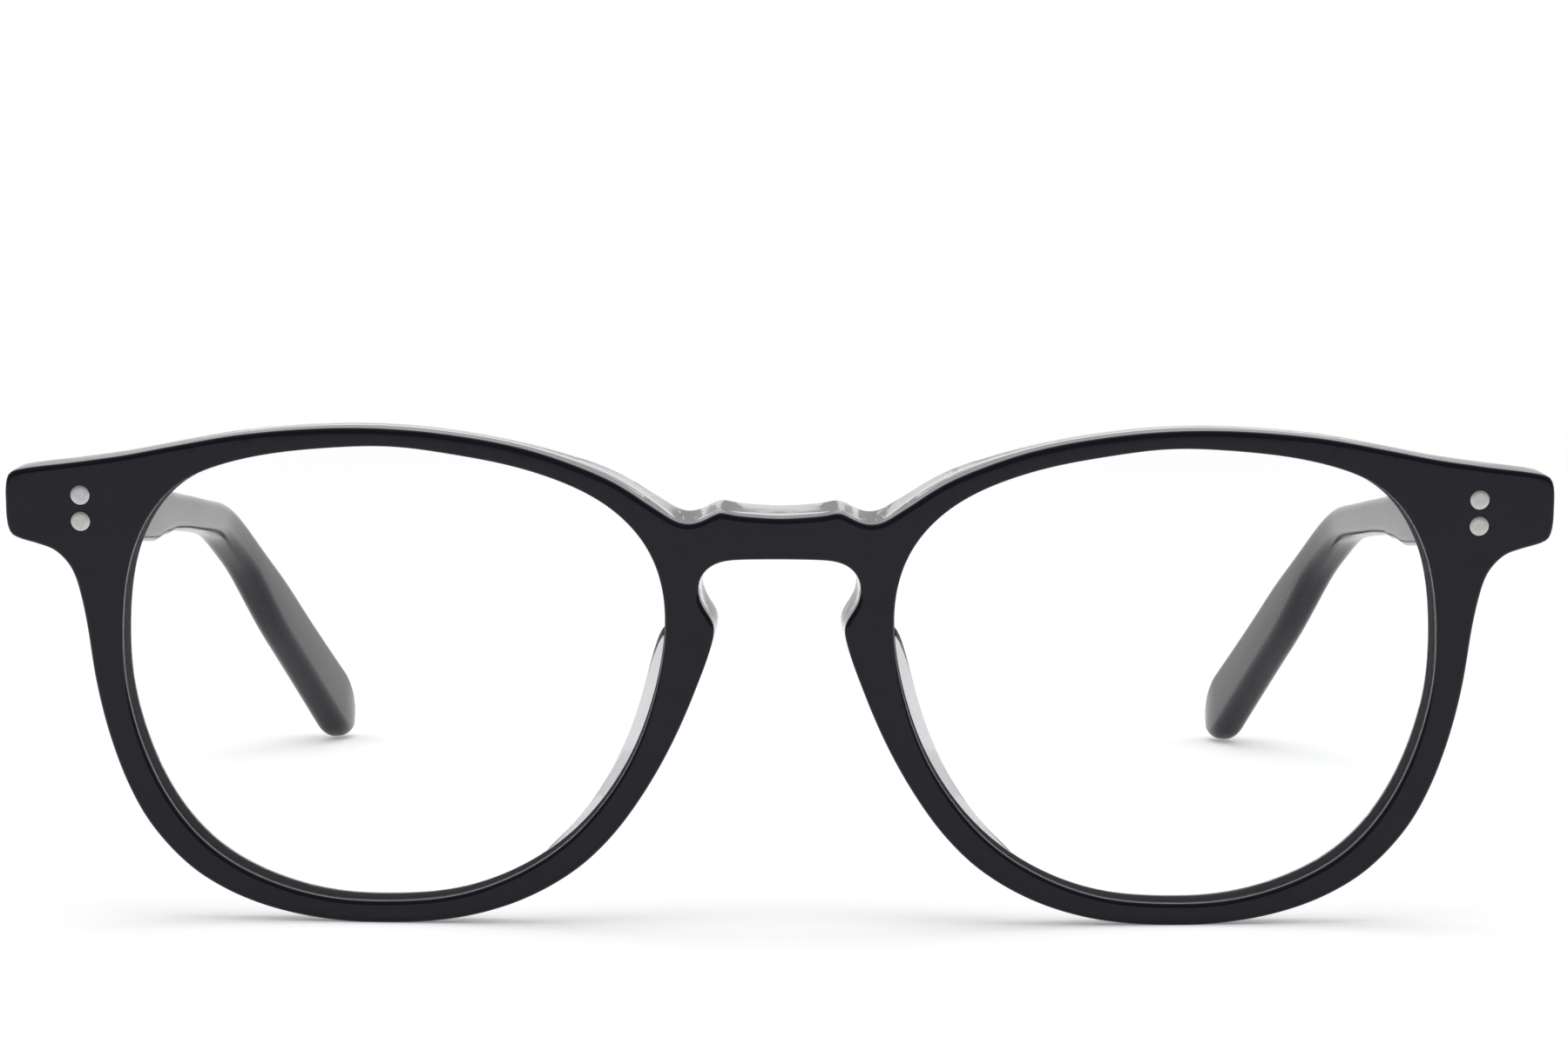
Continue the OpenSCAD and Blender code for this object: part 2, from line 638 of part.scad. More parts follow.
front_black_layer();
front_crystal_layer();
lens(-1);  // lens_left
lens(1);  // lens_right
nose_pad(-1);  // nose_pad_left
nose_pad(1);  // nose_pad_right
front_rivets(-1);  // front_rivets_left
front_rivets(1);  // front_rivets_right
hinge_front_leaf(-1);  // hinge_front_leaf_left
hinge_front_leaf(1);  // hinge_front_leaf_right
hinge_screw(-1);  // hinge_screw_left
hinge_screw(1);  // hinge_screw_right
hinge_temple_leaf(-1);  // hinge_temple_leaf_left
hinge_temple_leaf(1);  // hinge_temple_leaf_right
temple(-1);  // temple_left
temple(1);  // temple_right
core_wire(-1);  // core_wire_left
core_wire(1);  // core_wire_right
temple_rivets(-1);  // temple_rivets_left
temple_rivets(1);  // temple_rivets_right
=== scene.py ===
"""Soft-square acetate eyeglasses with a keyhole bridge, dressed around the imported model.

The front is cut from two laminated sheets, black before clear, along the outline that the model gives.
It is made flat, and then put on the wrapped and leaning front.
"""

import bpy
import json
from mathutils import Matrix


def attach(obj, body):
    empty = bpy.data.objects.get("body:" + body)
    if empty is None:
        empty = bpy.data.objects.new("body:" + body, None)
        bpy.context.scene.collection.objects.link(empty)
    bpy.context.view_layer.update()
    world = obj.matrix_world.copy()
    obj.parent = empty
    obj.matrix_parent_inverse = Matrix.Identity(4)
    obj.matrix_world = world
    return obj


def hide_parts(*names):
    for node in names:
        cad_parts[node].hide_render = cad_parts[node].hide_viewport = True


bl_info = {
    "name": "Acetate Eyeglasses",
    "version": (1, 0, 0),
    "blender": (4, 5, 0),
    "location": "View3D > Sidebar > Eyeglasses",
    "description": "Models laminated acetate eyeglasses with folding temples and riveted hinges",
    "category": "Object",
}

import json
import math

import bmesh
import bpy
from mathutils import Euler, Matrix, Vector

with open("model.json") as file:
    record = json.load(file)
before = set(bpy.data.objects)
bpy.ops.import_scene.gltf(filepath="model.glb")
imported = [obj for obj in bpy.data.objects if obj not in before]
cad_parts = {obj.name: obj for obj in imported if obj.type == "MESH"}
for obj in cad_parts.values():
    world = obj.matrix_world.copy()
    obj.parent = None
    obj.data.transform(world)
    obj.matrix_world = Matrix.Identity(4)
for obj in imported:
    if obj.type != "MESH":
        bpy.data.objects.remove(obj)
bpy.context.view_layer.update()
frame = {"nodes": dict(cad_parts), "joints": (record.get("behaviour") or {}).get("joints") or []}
MM = 0.001
SIDES = ("left", "right")
SIDE_SIGN = {"left": -1, "right": 1}
FORWARD = Vector((0, -1, 0))
DOUBLES = 0.005 * MM  # vertices closer than this become one
TOUCHES = 1e-6  # a distance that counts as none
CUT_THRESHOLD = 1e-7
FACING = 0.9  # cosine from which a face counts as looking a given way
PIN_SIDES = 64
NOSE_REACH = 0.026  # where the front begins to thicken towards the nose
NOSE_RUN = 0.018  # the width over which it thickens
ACETATE_IOR = 1.48


def cad_hinge(side):
    """Place of a temple's hinge axis, from the joint in the frame."""
    joint = next(j for j in frame["joints"] if j["child"] == f"temple_{side}")
    return Vector(joint["pos_m"])


# Settings


class FrontSizes(bpy.types.PropertyGroup):
    """Sizes of the laminated front, with finer edges than in the part's source"""

    lean: bpy.props.FloatProperty(
        name="Lean",
        description="Forward lean of the standing front",
        default=math.radians(5.5),
        unit="ROTATION",
    )
    wrap: bpy.props.FloatProperty(
        name="Wrap radius", description="Radius of the front seen from above", default=0.5, unit="LENGTH"
    )
    origin_y: bpy.props.FloatProperty(
        name="Front place", description="Place of the bridge's face along Y", default=-0.07133, unit="LENGTH"
    )
    black_t: bpy.props.FloatProperty(
        name="Black layer", description="Thickness of the black layer", default=0.002, unit="LENGTH"
    )
    rim_t: bpy.props.FloatProperty(
        name="Rim thickness", description="Thickness of both layers at the rims", default=0.004, unit="LENGTH"
    )
    bridge_t: bpy.props.FloatProperty(
        name="Bridge thickness",
        description="Thickness of both layers at the bridge",
        default=0.0064,
        unit="LENGTH",
    )
    bridge_flare: bpy.props.FloatProperty(
        name="Bridge flare",
        description="Outward flare of the clear walls at the nose",
        default=0.00025,
        unit="LENGTH",
    )
    edge_r: bpy.props.FloatProperty(
        name="Edge radius", description="Radius of the polished outer edges", default=0.0005, unit="LENGTH"
    )
    eye_edge_r: bpy.props.FloatProperty(
        name="Eye edge radius",
        description="Radius of the edges round the lenses",
        default=0.0004,
        unit="LENGTH",
    )
    groove_d: bpy.props.FloatProperty(
        name="Groove depth", description="Depth of the V groove for the lens", default=0.0008, unit="LENGTH"
    )
    groove_half_w: bpy.props.FloatProperty(
        name="Half groove width", description="Half the width of the V groove", default=0.00075, unit="LENGTH"
    )
    lens_t: bpy.props.FloatProperty(
        name="Lens edge", description="Thickness of a demo lens at its edge", default=0.0015, unit="LENGTH"
    )
    lens_bulge: bpy.props.FloatProperty(
        name="Lens bulge", description="How far a lens stands out in its middle", default=0.001, unit="LENGTH"
    )


class TempleSizes(bpy.types.PropertyGroup):
    """Sizes of the temples, with fuller paddle ends than in the part's source"""

    height: bpy.props.FloatProperty(
        name="Height", description="Height of a temple at the hinge", default=0.0065, unit="LENGTH"
    )
    thick: bpy.props.FloatProperty(
        name="Thickness", description="Thickness of a temple at the hinge", default=0.0043, unit="LENGTH"
    )
    tip_thick: bpy.props.FloatProperty(
        name="Tip thickness", description="Thickness of a temple at its tip", default=0.0035, unit="LENGTH"
    )
    paddle_h: bpy.props.FloatProperty(
        name="Paddle height", description="Height of the paddle end", default=0.0085, unit="LENGTH"
    )
    bend_y: bpy.props.FloatProperty(
        name="Bend start",
        description="Distance from the hinge axis to the bend",
        default=0.0955,
        unit="LENGTH",
    )
    bend_r: bpy.props.FloatProperty(
        name="Bend radius", description="Radius of the bend behind the ear", default=0.03, unit="LENGTH"
    )
    bend_a: bpy.props.FloatProperty(
        name="Bend angle", description="Angle of the bend", default=math.radians(32), unit="ROTATION"
    )
    bend_roll: bpy.props.FloatProperty(
        name="Bend turn",
        description="Turn of the bend towards the head",
        default=math.radians(21),
        unit="ROTATION",
    )
    slope: bpy.props.FloatProperty(
        name="Slope",
        description="Downward slope of the straight part",
        default=math.radians(6.1),
        unit="ROTATION",
    )
    toe: bpy.props.FloatProperty(
        name="Toe-in",
        description="Inward turn of the straight part",
        default=math.radians(3.6),
        unit="ROTATION",
    )
    low: bpy.props.FloatProperty(
        name="Drop at the hinge",
        description="Middle line below the hinge's middle",
        default=0.0002,
        unit="LENGTH",
    )
    axis_inset: bpy.props.FloatProperty(
        name="Axis inset", description="Distance of the axis inside the temple", default=0.002, unit="LENGTH"
    )
    axis_in: bpy.props.FloatProperty(
        name="Axis to edge",
        description="Hinge axis inside the end piece's edge",
        default=0.0066,
        unit="LENGTH",
    )
    butt_gap: bpy.props.FloatProperty(
        name="Butt gap", description="Gap between a temple and its end piece", default=0.00015, unit="LENGTH"
    )
    tip_lap: bpy.props.FloatProperty(
        name="Tip lap",
        description="How far the tip's round begins before the end",
        default=0.0006,
        unit="LENGTH",
    )


class Finishes(bpy.types.PropertyGroup):
    """Colours of the acetate and the metal"""

    black: bpy.props.FloatVectorProperty(
        name="Black acetate",
        description="Colour of the black sheet",
        default=(0.0032, 0.0028, 0.0075),
        subtype="COLOR",
    )
    clear: bpy.props.FloatVectorProperty(
        name="Clear acetate",
        description="Tint of the clear sheet",
        default=(0.62, 0.625, 0.635),
        subtype="COLOR",
    )
    rivet: bpy.props.FloatVectorProperty(
        name="Rivets",
        description="Colour of the polished rivet heads",
        default=(0.6, 0.59, 0.575),
        subtype="COLOR",
    )
    hinge: bpy.props.FloatVectorProperty(
        name="Hinges",
        description="Colour of the satin hinge metal",
        default=(0.62, 0.61, 0.59),
        subtype="COLOR",
    )


class StageSettings(bpy.types.PropertyGroup):
    """Camera, floor and lamps of the product picture"""

    camera_back: bpy.props.FloatProperty(
        name="Camera distance",
        description="Distance of the camera before the bridge",
        default=0.502,
        unit="LENGTH",
    )
    camera_up: bpy.props.FloatProperty(
        name="Camera height",
        description="Height of the camera over the floor",
        default=0.07887,
        unit="LENGTH",
    )
    camera_side: bpy.props.FloatProperty(
        name="Camera offset", description="Sideways place of the camera", default=0.00038, unit="LENGTH"
    )
    camera_pitch: bpy.props.FloatProperty(
        name="Camera pitch",
        description="Downward pitch of the camera",
        default=math.radians(4.71),
        unit="ROTATION",
    )
    camera_roll: bpy.props.FloatProperty(
        name="Camera roll", description="Roll of the camera", default=math.radians(0.2), unit="ROTATION"
    )
    camera_lens: bpy.props.FloatProperty(
        name="Focal length",
        description="Focal length on a 36 mm sensor",
        default=125.75,
        subtype="DISTANCE_CAMERA",
    )
    ambient: bpy.props.FloatProperty(
        name="Ambient", description="Strength of the surrounding light on matt surfaces", default=0.7
    )
    dim_side: bpy.props.FloatProperty(
        name="Dim side",
        description="What gloss and clear pieces see of the studio round the camera",
        default=0.25,
    )
    top_power: bpy.props.FloatProperty(
        name="Top lamp", description="Power of the overhead softbox", default=2.0, subtype="POWER"
    )
    side_power: bpy.props.FloatProperty(
        name="Side lamps", description="Power of each side softbox", default=0.7, subtype="POWER"
    )
    floor_glow: bpy.props.FloatProperty(
        name="Floor lift", description="What is added to the floor as the camera sees it", default=0.2
    )


def sizes():
    """The sizes of the front."""
    return bpy.context.scene.eyeglasses_front


def finishes():
    """The colours."""
    return bpy.context.scene.eyeglasses_finishes


# Handling of objects


def activate(piece):
    bpy.ops.object.select_all(action="DESELECT")
    piece.select_set(True)
    bpy.context.view_layer.objects.active = piece


def edit(piece, mode="VERT"):
    """Opens a piece for editing with nothing selected."""
    activate(piece)
    bpy.ops.object.mode_set(mode="EDIT")
    bpy.ops.mesh.select_mode(type=mode)
    bpy.ops.mesh.select_all(action="DESELECT")


def edit_all(piece, mode="VERT"):
    """Opens a piece for editing with everything selected."""
    edit(piece, mode)
    bpy.ops.mesh.select_all(action="SELECT")


def done():
    bpy.ops.object.mode_set(mode="OBJECT")


def pick(piece, kind, test):
    """Selects the vertices, edges or polygons of a piece that pass a test."""
    done()
    for element in getattr(piece.data, kind):
        element.select = test(element)
    bpy.ops.object.mode_set(mode="EDIT")


def modify(piece, kind, **settings):
    """Adds one modifier and applies it."""
    activate(piece)
    modifier = piece.modifiers.new(kind.title(), kind)
    for name, value in settings.items():
        setattr(modifier, name, value)
    bpy.ops.object.modifier_apply(modifier=modifier.name)


def face_outwards(piece):
    edit_all(piece)
    bpy.ops.mesh.normals_make_consistent(inside=False)
    done()


def copy_of_node(node, name):
    """A merged copy of a CAD node, free to be shaped."""
    piece = bpy.data.objects.new(name, frame["nodes"][node].data.copy())
    piece.data.name = name
    bpy.context.scene.collection.objects.link(piece)
    edit_all(piece)
    bpy.ops.mesh.remove_doubles(threshold=DOUBLES)
    done()
    face_outwards(piece)
    return piece


def remove(piece):
    bpy.data.objects.remove(piece, do_unlink=True)


def smooth(piece, angle):
    activate(piece)
    bpy.ops.object.shade_smooth_by_angle(angle=math.radians(angle))


def polish(piece):
    """Smooth shading that keeps the broad faces flat."""
    activate(piece)
    bpy.ops.object.shade_smooth()
    modify(piece, "WEIGHTED_NORMAL", mode="FACE_AREA_WITH_ANGLE", weight=80)


def finish_piece(piece, material, body, slot, *nodes):
    """Gives a finished piece its material and body, and hides the nodes that it stands for; the slot is not
    used.
    """
    piece.data.materials.clear()
    piece.data.materials.append(material)
    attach(piece, body)
    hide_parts(*nodes)


# Shader maths


class Wire:
    """A socket that can be added, multiplied and so on, one Math node each."""

    def __init__(self, look, socket):
        self.look = look
        self.socket = socket

    def math(self, operation, other):
        return self.look.node("ShaderNodeMath", {"operation": operation}, {0: self, 1: other})

    def __add__(self, other):
        return self.math("ADD", other)

    def __sub__(self, other):
        return self.math("SUBTRACT", other)

    def __mul__(self, other):
        return self.math("MULTIPLY", other)

    def __rsub__(self, other):
        return self.look.node("ShaderNodeMath", {"operation": "SUBTRACT"}, {0: other, 1: self})

    __radd__ = __add__
    __rmul__ = __mul__

    def spread(self, low, high):
        """A 0 to 1 value turned to the range low to high."""
        return self.look.node("ShaderNodeMapRange", {}, {0: self, 3: low, 4: high})


class Look:
    """The node tree of a material or the world, with a short way to add nodes."""

    def __init__(self, tree):
        self.tree = tree
        self.tree.nodes.clear()

    def node(self, kind, settings=None, sockets=None, out=0):
        """Adds a node, sets it, then fills its sockets with values or wires."""
        made = self.tree.nodes.new(kind)
        for name, value in (settings or {}).items():
            setattr(made, name, value)
        for name, value in (sockets or {}).items():
            if isinstance(value, Wire):
                self.tree.links.new(value.socket, made.inputs[name])
            else:
                made.inputs[name].default_value = value
        return Wire(self, made.outputs[out])

    def place(self):
        return self.node("ShaderNodeTexCoord", out="Object")

    def noise(self, size, detail=2.0, stretch=(1, 1, 1), roughness=0.5):
        """Noise whose features are about size metres apart."""
        place = self.node("ShaderNodeMapping", {}, {"Vector": self.place(), "Scale": stretch})
        sockets = {"Vector": place, "Scale": 1 / size, "Detail": detail, "Roughness": roughness}
        return self.node("ShaderNodeTexNoise", {}, sockets)

    def bump(self, height, distance, strength=1.0):
        return self.node("ShaderNodeBump", {}, {"Height": height, "Distance": distance, "Strength": strength})

    def mix(self, factor, first, second):
        return self.node("ShaderNodeMix", {"data_type": "RGBA"}, {0: factor, 6: first, 7: second}, out=2)

    def surface(self, shader, kind="ShaderNodeOutputMaterial"):
        output = self.tree.nodes.new(kind)
        self.tree.links.new(shader.socket, output.inputs["Surface"])


def new_look(name):
    """Makes a material and returns its look."""
    material = bpy.data.materials.new(name)
    material.use_nodes = True
    return Look(material.node_tree)


def rgb(colour, factor=1.0):
    """A colour, lightened or darkened, as a socket takes it."""
    return (*(factor * c for c in colour), 1.0)


# Finishes


def black_acetate():
    """Polished black acetate: faint flow lines, polishing swirls and a slow undulation."""
    look = new_look("polished_black")
    flow = look.noise(9 * MM, detail=3, stretch=(1, 1, 2.2))
    swirl = look.noise(0.5 * MM, detail=4, stretch=(1, 3, 1), roughness=0.65)
    colour = look.mix(flow, rgb(finishes().black), rgb(finishes().black, 1.5))
    wave = look.noise(5 * MM, detail=1)
    shader = look.node(
        "ShaderNodeBsdfPrincipled",
        {},
        {
            "Base Color": colour,
            "Roughness": (swirl * 0.15 + flow * 0.85).spread(0.12, 0.2),
            "Normal": look.bump(wave, 0.008 * MM),
            "IOR": ACETATE_IOR,
            "Specular IOR Level": 0.25,
        },
    )
    look.surface(shader)


def clear_acetate():
    """Clear acetate, polished, with a faint cloudiness."""
    look = new_look("polished_clear")
    cloud = look.noise(4 * MM, detail=3)
    shader = look.node(
        "ShaderNodeBsdfPrincipled",
        {},
        {
            "Base Color": look.mix(cloud, rgb(finishes().clear), rgb(finishes().clear, 0.985)),
            "Roughness": look.noise(0.8 * MM, detail=4).spread(0.02, 0.07),
            "Normal": look.bump(look.noise(3 * MM, detail=1), 0.02 * MM),
            "IOR": ACETATE_IOR,
            "Transmission Weight": 1.0,
        },
    )
    look.surface(shader)


def demo_lens():
    """A thin clear lens: it lets light through, reflects a little, and its ground edge in the groove is
    painted near-black as painted shade.
    """
    look = new_look("thin_lens")
    normal = look.bump(look.noise(30 * MM, detail=0), 0.01 * MM)
    haze = look.noise(2 * MM).spread(0.0, 0.02)
    mirror = {"Base Color": (1, 1, 1, 1), "Metallic": 1.0, "Roughness": haze}
    gloss = look.node("ShaderNodeBsdfPrincipled", {}, mirror)
    through = look.node("ShaderNodeBsdfTransparent", {}, {"Color": (0.995, 0.998, 0.998, 1)})
    fresnel = look.node("ShaderNodeFresnel", {}, {"IOR": 1.25, "Normal": normal})
    inside = look.node("ShaderNodeNewGeometry", out="Backfacing")
    clear = look.node("ShaderNodeMixShader", {}, {0: fresnel * (1 - inside), 1: through, 2: gloss})
    # Painted shade: the ground edge where the lens sits in the groove is coloured near-black, a matt dark
    # standing in for the groove's shade.
    matt = {"Base Color": (0.03, 0.032, 0.036, 1), "Roughness": look.noise(0.3 * MM).spread(0.4, 0.6)}
    ground = look.node("ShaderNodeBsdfPrincipled", {}, matt)
    edge = look.node("ShaderNodeAttribute", {"attribute_name": "ground"}, out="Fac")
    look.surface(look.node("ShaderNodeMixShader", {}, {0: edge, 1: clear, 2: ground}))


def metal(name, colour, rough, brush):
    """Turned and brushed metal: fine lines in the roughness and the relief."""
    look = new_look(name)
    lines = look.noise(0.12 * MM, detail=4, stretch=brush, roughness=0.6)
    stain = look.noise(0.35 * MM, detail=3)
    shader = look.node(
        "ShaderNodeBsdfPrincipled",
        {},
        {
            "Base Color": look.mix(stain, rgb(colour), rgb(colour, 0.7)),
            "Metallic": 1.0,
            "Roughness": (lines * 0.7 + stain * 0.3).spread(*rough),
            "Normal": look.bump(lines, 0.004 * MM, strength=0.6),
        },
    )
    look.surface(shader)


def materials():
    """The finishes of the object, made once."""
    made = bpy.data.materials
    if "polished_black" not in made:
        black_acetate()
        clear_acetate()
        demo_lens()
        metal("polished_rivet", finishes().rivet, rough=(0.24, 0.42), brush=(1, 1, 4))
        metal("satin_hinge", finishes().hinge, rough=(0.22, 0.4), brush=(1, 1, 6))
        metal("core_wire", (0.5, 0.5, 0.52), rough=(0.3, 0.5), brush=(1, 0.2, 1))
    return made


# The flat front and its place


def always(value):
    """A function that gives one value everywhere."""
    return lambda where: value


def clamped(u):
    return min(1, max(0, u))


def ease(u):
    """A share from 0 to 1 that starts and ends softly."""
    u = clamped(u)
    return u * u * (3 - 2 * u)


def nose_share(x):
    """How much of the bridge's thickness the front has at a distance from the middle."""
    return ease((NOSE_REACH - abs(x)) / NOSE_RUN)


def onto_front(point):
    """A point of the flat front, as x, depth and height, put on the wrapped and leaning front."""
    s = sizes()
    x, depth, height = point
    turn = math.asin(x / s.wrap)
    across, back = math.sin(turn), math.cos(turn)
    placed = Vector((x - depth * across, s.wrap * (1 - back) + depth * back, height))
    placed.rotate(Euler((s.lean, 0, 0)))
    return placed + Vector((0, s.origin_y, 0))


def off_front(point):
    """The flat front's x, depth and height of a point in space."""
    s = sizes()
    p = point - Vector((0, s.origin_y, 0))
    p.rotate(Euler((-s.lean, 0, 0)))
    reach = math.hypot(p.x, p.y - s.wrap)
    return Vector((s.wrap * p.x / reach, s.wrap - reach, p.z))


def chains(edges):
    """Closed loops that a set of edges forms, the longest first, each from its lowest edge number on."""
    loops = []
    while edges:
        start = min(edges, key=lambda e: e.index)
        edges.discard(start)
        first, last = start.verts
        loop = [first.co.copy()]
        while last is not first:
            loop.append(last.co.copy())
            step = next((e for e in last.link_edges if e in edges), None)
            if not step:
                break
            edges.discard(step)
            last = step.other_vert(last)
        loops.append(loop)
    return sorted(loops, key=lambda loop: -loop_length(loop))


def front_loops():
    """The outline and the two eye loops of the flat front, from the CAD's black layer."""
    s = sizes()
    piece = copy_of_node("front_black_layer", "flat_front")
    work = bmesh.new()
    work.from_mesh(piece.data)
    remove(piece)
    for vertex in work.verts:
        vertex.co = off_front(vertex.co)
    near = 0.08 * MM
    back = {f for f in work.faces if all(abs(v.co.y - s.black_t) < near for v in f.verts)}
    rims = {e for f in back for e in f.edges if sum(g in back for g in e.link_faces) == 1}
    lip = s.black_t - s.groove_half_w
    lips = {e for e in work.edges if all(abs(v.co.y - lip) < near for v in e.verts)}
    outline = chains(rims)[0]
    eyes = chains(lips)[:2]
    work.free()
    brow, nose = 35 * MM, 14 * MM
    shoulder, shoulder_run = 9 * MM, 3.5 * MM

    def keyhole(p):
        return p.z < brow and abs(p.x) < nose

    def shoulders(p):
        return (p.z > brow) * (1 - min(1, abs(abs(p.x) - shoulder) / shoulder_run))

    outline = eased(eased(evened(outline), 3, keyhole), 10, shoulders)
    eyes = [eased(evened(eye), 40, always(1)) for eye in eyes]
    return outline, eyes


def loop_length(loop):
    return sum((b - a).length for a, b in zip(loop, loop[1:] + loop[:1]))


def spline(loop, parts=6):
    """Centripetal spline through a closed loop of points."""
    out = []
    count = len(loop)
    for i in range(count):
        p0, p1, p2, p3 = (loop[(i + k) % count] for k in (-1, 0, 1, 2))
        a, b, c = (max(TOUCHES, (q - p).length) ** 0.5 for p, q in ((p0, p1), (p1, p2), (p2, p3)))
        m1 = p2 - p1 + b * ((p1 - p0) / a - (p2 - p0) / (a + b))
        m2 = p2 - p1 + b * ((p3 - p2) / c - (p3 - p1) / (b + c))
        for k in range(parts):
            u = k / parts
            out.append(p1 + m1 * u + (3 * (p2 - p1) - 2 * m1 - m2) * u**2 + (2 * (p1 - p2) + m1 + m2) * u**3)
    return out


def even_loop(loop, spacing):
    """The same closed loop with evenly spaced points."""
    count = round(loop_length(loop) / spacing)
    step = loop_length(loop) / count
    out = []
    gone = 0.0
    for a, b in zip(loop, loop[1:] + loop[:1]):
        length = (b - a).length
        while len(out) < count and len(out) * step <= gone + length:
            out.append(a.lerp(b, (len(out) * step - gone) / length if length else 0))
        gone += length
    return out


def evened(loop, least=0.3 * MM, spacing=0.45 * MM):
    """A loop from the CAD without its crowded points, drawn again as an even curve."""
    return even_loop(spline(thin_out(loop, least)), spacing)


def thin_out(loop, least):
    """Drops points that lie too close to the one before."""
    out = [loop[0]]
    for point in loop[1:]:
        if (point - out[-1]).length > least and (point - loop[0]).length > least:
            out.append(point)
    return out


def eased(loop, turns, share):
    """Evens out a closed loop, each point by its share."""
    for _ in range(turns):
        middles = [(a + b) / 2 for a, b in zip(loop[-1:] + loop[:-1], loop[1:] + loop[:1])]
        loop = [p.lerp(middle, 0.5 * min(1, 2 * share(p))) for p, middle in zip(loop, middles)]
    return loop


def inward(loop):
    """Directions across a flat loop, towards its inside."""
    area = sum(a.x * b.z - b.x * a.z for a, b in zip(loop, loop[1:] + loop[:1]))
    turn = 1 if area > 0 else -1
    out = []
    for i in range(len(loop)):
        along = (loop[(i + 1) % len(loop)] - loop[i - 1]).normalized()
        out.append(Vector((-along.z, 0, along.x)) * turn)
    return out


def round_over(radius, segments=6):
    """Depth and inset of the steps of a rounded edge."""
    turns = [math.pi / 2 * k / segments for k in range(segments + 1)]
    return [(radius * (1 - math.sin(a)), radius * (1 - math.cos(a))) for a in turns]


def lofted(name, rings, ground=None):
    """Lays a circle on the first ring and extrudes it to the others; some may be marked as the ground edge,
    which carries painted shade.
    """
    bpy.ops.object.select_all(action="DESELECT")
    bpy.ops.mesh.primitive_circle_add(vertices=len(rings[0]), radius=1)
    piece = bpy.context.active_object
    piece.name = name
    piece.data.name = name
    order = {(v.co.x, v.co.y): i for i, v in enumerate(piece.data.vertices)}
    edit_all(piece, "EDGE")
    for _ in rings[1:]:
        bpy.ops.mesh.extrude_region_move(TRANSFORM_OT_translate={"value": (0, 0, 1)})
    done()
    marks = ground and piece.data.attributes.new("ground", "FLOAT", "POINT")
    for vertex in piece.data.vertices:
        ring = round(vertex.co.z)
        if marks:
            marks.data[vertex.index].value = ring in ground
        vertex.co = rings[ring][order[vertex.co.x, vertex.co.y]]
    return piece


def joined(name, pieces):
    """Makes several pieces one."""
    activate(pieces[0])
    for piece in pieces[1:]:
        piece.select_set(True)
    if len(pieces) > 1:
        bpy.ops.object.join()
    pieces[0].name = name
    pieces[0].data.name = name
    return pieces[0]


def close_side(piece, test):
    """Fills the open edges of a piece that pass a test."""
    edit(piece, "EDGE")
    bpy.ops.mesh.select_non_manifold()
    done()
    verts = piece.data.vertices
    pick(piece, "edges", lambda e: e.select and all(test(verts[i].co) for i in e.vertices))
    bpy.ops.mesh.fill(use_beauty=True)
    done()


def close_ends(piece):
    """Closes the open ends of a lofted piece with a face each, and turns its faces outwards."""
    edit(piece, "EDGE")
    bpy.ops.mesh.select_non_manifold()
    bpy.ops.mesh.edge_face_add()
    done()
    face_outwards(piece)


def sheet(name, bands, middle):
    """A flat sheet whose walls follow each band's loop through its steps of depth and inset."""
    walls = []
    for loop, into, steps in bands:
        rings = []
        for depth, inset in steps:
            rings.append([Vector((p.x, depth(p.x), p.z)) + n * inset(p.x) for p, n in zip(loop, into)])
        walls.append(lofted("wall", rings))
    piece = joined(name, walls)
    close_side(piece, lambda co: co.y < middle)
    close_side(piece, lambda co: co.y > middle)
    face_outwards(piece)
    return piece


def cut_across(piece, thickness):
    """Cuts the sheet's broad faces by upright planes, so that they follow the wrap and the thickness."""
    reach = max(v.co.x for v in piece.data.vertices)
    first, step = 2.7, 5
    cuts = [-reach + first * MM + k * step * MM for k in range(int(2 * reach / (step * MM)))]
    for x in cuts:
        edit(piece, "FACE")
        pick(piece, "polygons", lambda f: abs(f.normal.y) > FACING and len(f.vertices) == 3)
        bpy.ops.mesh.bisect(plane_co=(x, 0, 0), plane_no=(1, 0, 0), threshold=CUT_THRESHOLD)
        done()
        edit(piece, "FACE")
        pick(piece, "polygons", lambda f: len(f.vertices) > 4)
        bpy.ops.mesh.quads_convert_to_tris()
        done()
    if thickness:
        near = 0.6 * MM
        for vertex in piece.data.vertices:
            back = thickness(vertex.co.x)
            if any(abs(vertex.co.x - x) < TOUCHES for x in cuts) and vertex.co.y > back - near:
                vertex.co.y = back


def put_on_front(piece):
    for vertex in piece.data.vertices:
        vertex.co = onto_front(vertex.co)
    piece.data.update()


def eye_middle(eye):
    return sum(eye, Vector()) / len(eye)


def pin_points(node):
    """Points of each pin of a rivet node."""
    piece = copy_of_node(node, "pins")
    edit_all(piece)
    bpy.ops.mesh.separate(type="LOOSE")
    done()
    pins = []
    for part in list(bpy.context.selected_objects):
        pins.append([v.co.copy() for v in part.data.vertices])
        remove(part)
    return pins


def pin_places(node, outward):
    """Head centre, direction to the head, length and radius of each pin of a node."""
    places = []
    for points in pin_points(node):
        middle = sum(points, Vector()) / len(points)
        far = max(points, key=lambda p: (p - middle).length)
        ends = [[], []]
        for p in points:
            ends[(p - far).length > (p - 2 * middle + far).length].append(p)
        head, foot = sorted((sum(end, Vector()) / len(end) for end in ends), key=lambda c: -c.dot(outward))
        axis = head - foot
        radius = max((p - head).length for end in ends for p in end if (p - head).dot(axis) > -TOUCHES)
        places.append((head, axis.normalized(), axis.length, radius))
    return places


def turn_to(way):
    """Rotation that turns +Z to a direction."""
    return Vector((0, 0, 1)).rotation_difference(way)


